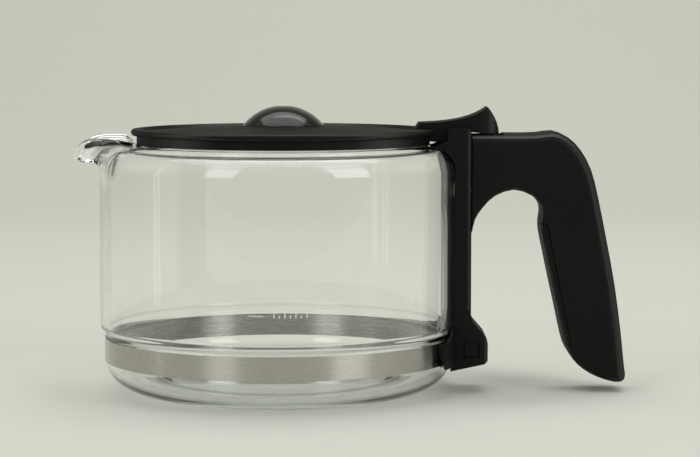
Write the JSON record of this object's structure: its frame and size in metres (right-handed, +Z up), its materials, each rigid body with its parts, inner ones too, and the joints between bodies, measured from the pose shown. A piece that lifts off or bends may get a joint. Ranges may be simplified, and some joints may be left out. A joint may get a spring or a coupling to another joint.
{
  "type": "coffee server carafe",
  "caption": "Round glass coffee jug with a pouring spout, a steel clamping band, a moulded black handle and a hinged lid worked by a thumb lever.",
  "frame": {"origin": "on the glass body's axis, at the plane that the jug stands on", "axes": "+Z up, +X from the jug's axis toward the handle, spout at -X"},
  "size_m": [0.2169, 0.14, 0.1117],
  "materials": {
    "clear_glass": "clear, smooth borosilicate glass",
    "band_steel": "rolled bright stainless strip",
    "zinc_screws": "bright zinc plate",
    "satin_black": "satin moulded black, fine grain",
    "smoke_tint": "clear plastic with a dark smoke tint, polished"
  },
  "bodies": {
    "jug": {"glass_jug": "clear_glass", "steel_band": "band_steel", "band_screw": "zinc_screws", "band_nut": "zinc_screws", "screw_plugs": "satin_black", "handle_bracket": "satin_black", "handle_grip": "satin_black", "grip_cover": "satin_black", "grip_screws": "zinc_screws", "hinge_pin": "zinc_screws"},
    "lid": {"lid_cap": "satin_black", "lid_baffle": "satin_black", "drip_cap": "smoke_tint", "thumb_lever": "satin_black"}
  },
  "joints": [
    {"name": "lid_hinge", "type": "hinge", "parent": "jug", "child": "lid", "pos_m": [0.0695, 0, 0.0987], "axis": [0, 1, 0], "range_deg": [0, 68]}
  ]
}
